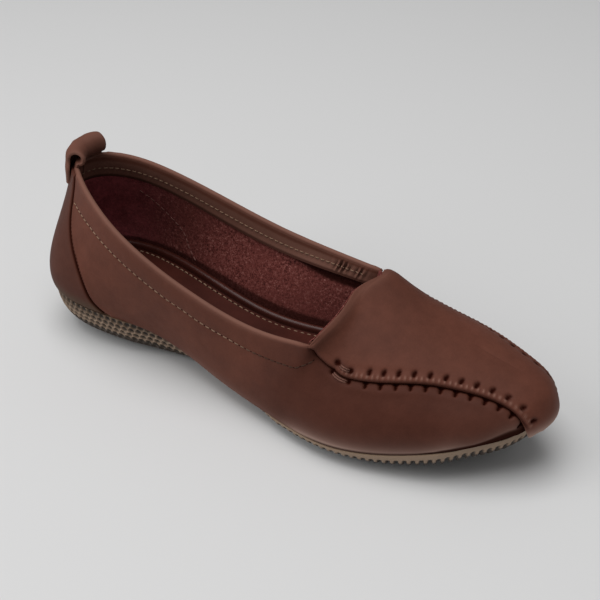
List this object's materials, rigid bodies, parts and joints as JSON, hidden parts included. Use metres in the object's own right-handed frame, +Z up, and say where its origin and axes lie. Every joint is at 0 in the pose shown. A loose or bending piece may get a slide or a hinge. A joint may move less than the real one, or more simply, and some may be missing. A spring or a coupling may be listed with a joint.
{
  "type": "flat shoe",
  "caption": "Right-foot slip-on flat shoe in brown leather with a hand-sewn apron toe, a pull loop at the heel, a leather insole and a moulded rubber sole with a low heel and toe spring.",
  "frame": {"origin": "on the floor, at the middle of the shoe's box seen from above", "axes": "+X towards the toe along the shoe's length, +Z up, -Y towards the outer side of the right foot"},
  "size_m": [0.2467, 0.0789, 0.087],
  "materials": {
    "brown_leather": "matte oiled leather with a fine nap",
    "tan_rubber": "matte moulded rubber with small nubs",
    "oxblood_leather": "smooth satin leather"
  },
  "bodies": {
    "root": {"outsole": "tan_rubber", "insole": "oxblood_leather", "upper": "brown_leather", "apron": "brown_leather", "heel_counter": "brown_leather", "collar_facing": "brown_leather", "pull_loop": "brown_leather"}
  },
  "joints": []
}
